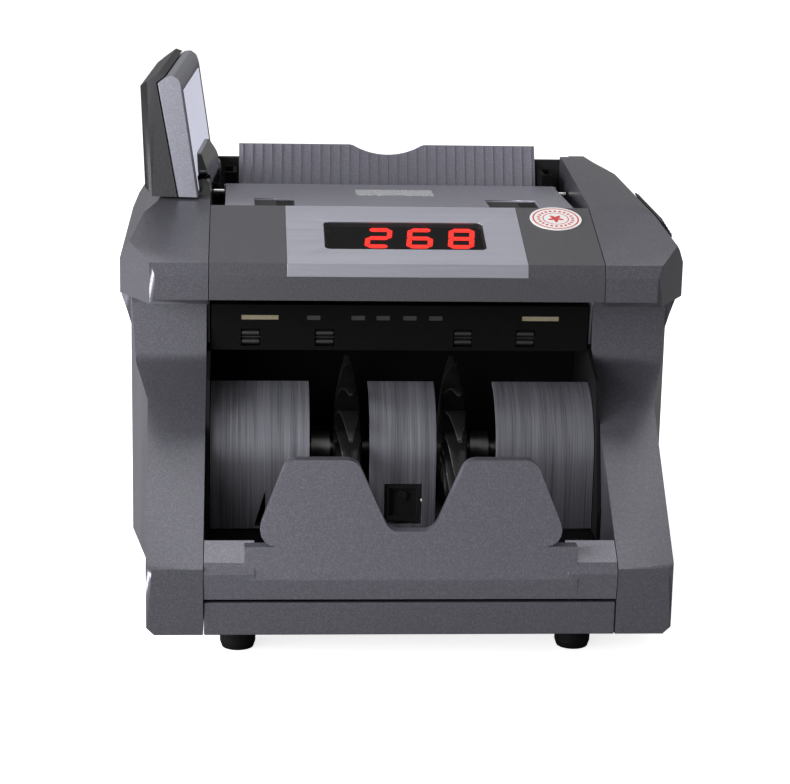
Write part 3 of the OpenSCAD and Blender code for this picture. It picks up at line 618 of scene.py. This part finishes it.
def alongTray(steps=5):
    points = []
    face = tray["face"]
    n = len(face)
    for i in range(n - 1):                                     # an even curve through the bend points
        a, b, c, d = (Vector(face[min(max(k, 0), n - 1)]) for k in (i - 1, i, i + 1, i + 2))
        for k in range(steps):
            t = k / steps
            points.append(0.5 * ((2 * b) + (c - a) * t + (2 * a - 5 * b + 4 * c - d) * t ** 2
                                 + (3 * b - a - 3 * c + d) * t ** 3))
    return points + [Vector(face[-1])]


def outOf(points, i):
    ahead = points[min(i + 1, len(points) - 1)] - points[max(i - 1, 0)]
    ahead.normalize()
    return Vector((-ahead.y, ahead.x))                         # towards the notes


def lowered(x, point):
    over = point.y - trayTop(x)
    return point - Vector(tray["lean"]) * (over / tray["lean"][1]) if over > 0 else point


curve = alongTray()
columns = [-tray["half"] + tray["half"] * 2 * i / tray["columns"] for i in range(tray["columns"] + 1)]
sheetRings = []
for x in columns:
    front = [lowered(x, point) for point in curve]
    back = [lowered(x, point) - outOf(curve, i) * tray["thick"] for i, point in enumerate(curve)]
    sheetRings.append([(x, point.x + yShift, point.y) for point in front + back[::-1]])
traySheet = lofted("tray_sheet", sheetRings)
half = tray["ribWide"]
ribRings = []
for i, point in enumerate(curve):
    tip = point + outOf(curve, i) * tray["ribHigh"]
    ribRings.append([(x, spot.x + yShift, spot.y) for x, spot in
                     ((-half, point), (-half * 0.7, tip), (half * 0.7, tip), (half, point))])
ribMesh = repeatedMesh("tray_rib", lofted("one_rib", ribRings), finish["tray"], tray["ribs"],
                       start=(-(tray["ribs"] - 1) / 2 * tray["pitch"], 0, 0), step=(tray["pitch"], 0, 0))
for vert in ribMesh.vertices:
    over = vert.co.z / mm - trayTop(vert.co.x / mm) + tray["sink"]
    if over > 0:
        vert.co.z -= over * mm
        vert.co.y -= over * mm * tray["lean"][0] / tray["lean"][1]
sheetPiece = rides(settled(newPiece("tray_sheet", traySheet, finish["tray"])), "hopper_back_plate")
ribPiece = rides(settled(newPiece("tray_ribs", ribMesh, finish["tray"])), "hopper_back_plate")
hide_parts("hopper_back_plate")
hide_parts("hopper_back_plate")
print("hopper done")

# Stacker wheels: curved vanes that narrow to a blunt tip, set round two hubs.
wheels = {
    "middle": (0, 110, 85), "apart": 28.6, "vanes": 12, "sweep": 70, "hub": 11, "tip": 50, "steps": 18,
    "widths": [(0, 7.6), (15, 7.4), (29, 6.0), (41, 3.6), (50, 1.0)], "thick": 2.3, "short": 0.4,
    "hubOutline": [(4.05, -8), (10.5, -8), (12.8, -7), (12.8, 7), (10.5, 8), (4.05, 8)], "sides": 12,
}


def wheelHalfWidth(r):
    for (r0, w0), (r1, w1) in zip(wheels["widths"], wheels["widths"][1:]):
        if r <= r1:
            return w0 + (w1 - w0) * (r - r0) / (r1 - r0)
    return wheels["widths"][-1][1]


def vaneRing(f):
    r = wheels["hub"] + (wheels["tip"] - wheels["short"] - wheels["hub"]) * f
    turn = radians(wheels["sweep"]) * f
    wide = wheelHalfWidth(r)
    thick = wheels["thick"] * (1.15 - 0.45 * f)
    points = []
    for k in range(wheels["sides"]):                           # a rounded blade section
        a = 2 * pi * k / wheels["sides"]
        u = wide * (abs(cos(a)) ** 0.45) * (1 if cos(a) > 0 else -1)
        v = thick / 2 * (abs(sin(a)) ** 0.6) * (1 if sin(a) > 0 else -1) + thick / 2
        spot = turn + v / r
        points.append((u, -r * sin(spot), r * cos(spot)))
    return points


vane = lofted("one_vane", [vaneRing(k / wheels["steps"]) for k in range(wheels["steps"] + 1)])
wheelMeshes = []
for sign in (-1, 1):
    spot = (sign * wheels["apart"], wheels["middle"][1] + yShift, wheels["middle"][2])
    wheelMeshes.append(repeatedMesh("wheel_vanes", vane, finish["wheel"], wheels["vanes"], start=spot,
                                    turn=(-360 / wheels["vanes"], 0, 0)))
    hub = turnedShape("wheel_hub", wheels["hubOutline"], axis="X")
    hub.transform(Matrix.Translation(Vector(spot) * mm))
    wheelMeshes.append(hub)
wheelPair = joined("wheel_pair", wheelMeshes)
wheelPiece = rides(settled(newPiece("stacker_wheel_pair", wheelPair, finish["wheel"])), "stacker_wheels")
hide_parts("stacker_wheels")
print("stacker wheels done")

# Pan-head screws with a raised cross, in lines up the back.
screws = {
    "radius": 3.0, "high": 1.4, "bar": (1.2, 0.2, 0.6), "sides": 24,
    "lines": [((-99, 266, 48), (0, 0, 71), 3), ((99, 266, 48), (0, 0, 71), 3)],
}


def screwHead():
    r, h = screws["radius"], screws["high"]
    outline = [(0.05, 0), (r, 0), (r, h * 0.35), (r * 0.85, h * 0.75), (r * 0.5, h), (0.05, h)]
    long, high, wide = screws["bar"]
    bm = bmesh.new()
    bm.from_mesh(turnedShape("head", outline, screws["sides"], "Y"))
    lift = Matrix.Translation((0, (h + 0.02) * mm, 0))
    size = Matrix.Diagonal((r * long * mm, high * mm, wide * mm, 1))
    for turn in (0, pi / 2):                                   # the cross, as two low bars
        bmesh.ops.create_cube(bm, size=1, matrix=lift @ Matrix.Rotation(turn, 4, "Y") @ size)
    return meshOf("screw_head", bm)


head = screwHead()
screwMeshes = [
    repeatedMesh("screw_line", head, finish["steel"], count, start=(at[0], at[1] + yShift, at[2]), step=step)
    for at, step, count in screws["lines"]
]
screwLines = joined("screw_heads", screwMeshes)
screwPiece = rides(settled(newPiece("cover_screw_heads", screwLines, finish["steel"])), "cover_screws")
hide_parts("cover_screws")

# Fine grip ridges in the hatch's finger pockets.
ridgeSection = [(-0.6, 0), (-0.35, 0.5), (0.35, 0.5), (0.6, 0)]
ridgeEnds = (-pockets["length"] / 2, pockets["length"] / 2)
ridge = lofted("one_ridge", [[(x, y, z) for y, z in ridgeSection] for x in ridgeEnds])
gripMeshes = [
    repeatedMesh("grip", ridge, finish["black"], pockets["count"],
                 start=(x, pockets["first"] + yShift, pockets["floor"]), step=(0, pockets["pitch"], 0))
    for x in pockets["places"]
]
gripRidges = joined("hatch_grips", gripMeshes)
rides(settled(newPiece("hatch_grips", gripRidges, finish["black"])), "hatch_cover")

# Slanted louvre blades inside the air slots of the back cover.
louvres = {
    "count": 9, "pitch": 7, "first": 40.6, "half": 21.7, "places": (-30, 30),
    "section": [(262.8, 0), (265.6, 1.4), (265.6, 2.0), (262.8, 0.6)],
}
blade = lofted("one_blade", [[(x, y + yShift, z) for y, z in louvres["section"]]
                             for x in (-louvres["half"], louvres["half"])])
bladeMeshes = [
    repeatedMesh("louvre", blade, finish["black"], louvres["count"],
                 start=(x, 0, louvres["first"]), step=(0, 0, louvres["pitch"]))
    for x in louvres["places"]
]
louvreBlades = joined("back_louvres", bladeMeshes)
rides(settled(newPiece("back_louvres", louvreBlades, finish["black"])), "back_cover")

# Speaker pad on the right shoulder: a soft-edged plate covered with small domes.
pad = {
    "middle": (142.6, 165, 203.7), "slope": atan(12.5 / 8.5), "half": (6.4, 41.6), "corner": 2.2,
    "layers": [(0.2, 0), (0.85, 0), (1.2, 0.25), (1.35, 0.7)], "high": 1.35,
    "dome": [(0.62, 0), (0.496, 0.27), (0.217, 0.45)], "pitch": 1.9, "across": 6, "along": 42, "sink": 0.03,
}


def padRing(lift, inset):
    a, b = (value - inset for value in pad["half"])
    ring = []
    for i, (right, ahead) in enumerate(((1, 1), (-1, 1), (-1, -1), (1, -1))):
        for k in range(6):
            turn = pi / 2 * (i + k / 5)
            ring.append((right * (a - pad["corner"]) + pad["corner"] * cos(turn),
                         ahead * (b - pad["corner"]) + pad["corner"] * sin(turn), lift))
    return ring


def firstOf(count):                      # where a centred line of domes starts
    return -(count - 1) / 2 * pad["pitch"]


padPlate = lofted("pad_plate", [padRing(lift, inset) for lift, inset in pad["layers"]])
dome = turnedShape("one_dome", pad["dome"], sides=8)
domeRow = repeatedMesh("dome_row", dome, finish["grille"], pad["across"],
                       start=(firstOf(pad["across"]), 0, 0), step=(pad["pitch"], 0, 0))
domeField = repeatedMesh("dome_field", domeRow, finish["grille"], pad["along"],
                         start=(0, firstOf(pad["along"]), pad["high"] - pad["sink"]),
                         step=(0, pad["pitch"], 0))
padMesh = joined("speaker_pad", [padPlate, domeField])
padAt = Vector(pad["middle"]) + Vector((0, yShift, 0))
padMesh.transform(Matrix.Translation(padAt * mm) @ Matrix.Rotation(pad["slope"], 4, "Y"))
padPiece = rides(settled(newPiece("shoulder_pad", padMesh, finish["grille"])), "shoulder_grille")
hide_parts("shoulder_grille")
print("repeated details done")

dress("window", "display_window")
dress("board", "count_display_board", "control_board")
dress("seal", "round_seal")
dress("black", "note_sensor", "power_inlet", "power_switch", "feed_gap_knob")
# Black inside parts, darkened further as painted shade of the interior.
dress("shadeBlack", "stacker_floor", "upper_note_guide", "hopper_side_guides", "feed_chute", "partition_wall",
      "reader_bar")
# The frames' black paint also carries painted shade.
dress("frame", "left_side_frame", "right_side_frame")
# The rubber's darkness is partly painted shade.
dress("rubber", "rubber_feet", "drive_belt", "stacker_belt", "pickup_roller", "counting_roller",
      "pinch_rollers")
dress("steel", "cross_braces", "shaft_bearings", "hatch_hinge_pins", "display_hinge_pin",
      "drive_motor_pulley", "stacker_motor_pulley")
# The reader contacts' darkness is painted shade.
dress("darkSteel", "stacker_shaft")
dress("shadedContactSteel", "reader_contacts")
dress("motor", "drive_motor", "stacker_motor")
dress("tin", "power_supply")
dress("label", "hatch_label")
dress("lamp", "reader_lamps")
print("frame nodes dressed")


floorHalf = 6
floorMesh = bpy.data.meshes.new("floor")
floorMesh.from_pydata([(-floorHalf, -floorHalf, 0), (floorHalf, -floorHalf, 0), (floorHalf, floorHalf, 0),
                       (-floorHalf, floorHalf, 0)], [], [(0, 1, 2, 3)])
newPiece("floor", floorMesh, paleFloor("pale_floor"))

studio = {
    "key": {"at": (-0.8, -1.3, 0.3), "size": 0.9, "power": 10, "aim": (0, 0, 0.12)},
    "left": {"at": (-1.5, -0.5, 0.4), "size": 1.1, "power": 52, "aim": (0, 0, 0.12)},
    "right": {"at": (1.6, -0.5, 0.7), "size": 1.1, "power": 1, "aim": (0, 0, 0.12)},
    "top": {"at": (0.0, 0.5, 1.9), "size": 1.4, "power": 12, "aim": (0, 0, 0.1)},
}
for name, row in studio.items():
    lamp = bpy.data.lights.new(name, "AREA")
    lamp.energy = row["power"]
    lamp.size = row["size"]
    holder = bpy.data.objects.new(name + "_light", lamp)
    bpy.context.scene.collection.objects.link(holder)
    holder.location = row["at"]
    holder.rotation_euler = (Vector(row["aim"]) - Vector(row["at"])).to_track_quat("-Z", "Y").to_euler()

world = bpy.data.worlds.new("studio")
bpy.context.scene.world = world
world.use_nodes = True
sky = world.node_tree
soft = sky.nodes["Background"]                                 # soft light all round, and a white backdrop
soft.inputs[1].default_value = 0.3
backdrop = sky.nodes.new("ShaderNodeBackground")
for background in (soft, backdrop):
    background.inputs[0].default_value = (1, 1, 1, 1)
choose = sky.nodes.new("ShaderNodeMixShader")
sky.links.new(sky.nodes.new("ShaderNodeLightPath").outputs["Is Camera Ray"], choose.inputs[0])
sky.links.new(soft.outputs[0], choose.inputs[1])
sky.links.new(backdrop.outputs[0], choose.inputs[2])
sky.links.new(choose.outputs[0], sky.nodes["World Output"].inputs["Surface"])
bpy.context.scene.view_settings.view_transform = "Standard"

view = {"at": (-85.6, -1227.2, 430.1), "yaw": 3.936, "pitch": 14.633, "roll": 1.207, "lens": 104.95}
yaw, pitch, roll = (radians(view[key]) for key in ("yaw", "pitch", "roll"))
ahead = Vector((sin(yaw) * cos(pitch), cos(yaw) * cos(pitch), -sin(pitch)))
right = Vector((cos(yaw), -sin(yaw), 0))
up = right.cross(ahead)
right, up = cos(roll) * right + sin(roll) * up, cos(roll) * up - sin(roll) * right
camera = bpy.data.objects.new("camera", bpy.data.cameras.new("camera"))
bpy.context.scene.collection.objects.link(camera)
camera.data.lens = view["lens"]
camera.data.sensor_width = 36
camera.data.clip_end = 50
aim = Matrix((right, up, -ahead)).transposed().to_4x4()
camera.matrix_world = Matrix.Translation(Vector(view["at"]) * mm) @ aim
bpy.context.scene.camera = camera
print("studio set")
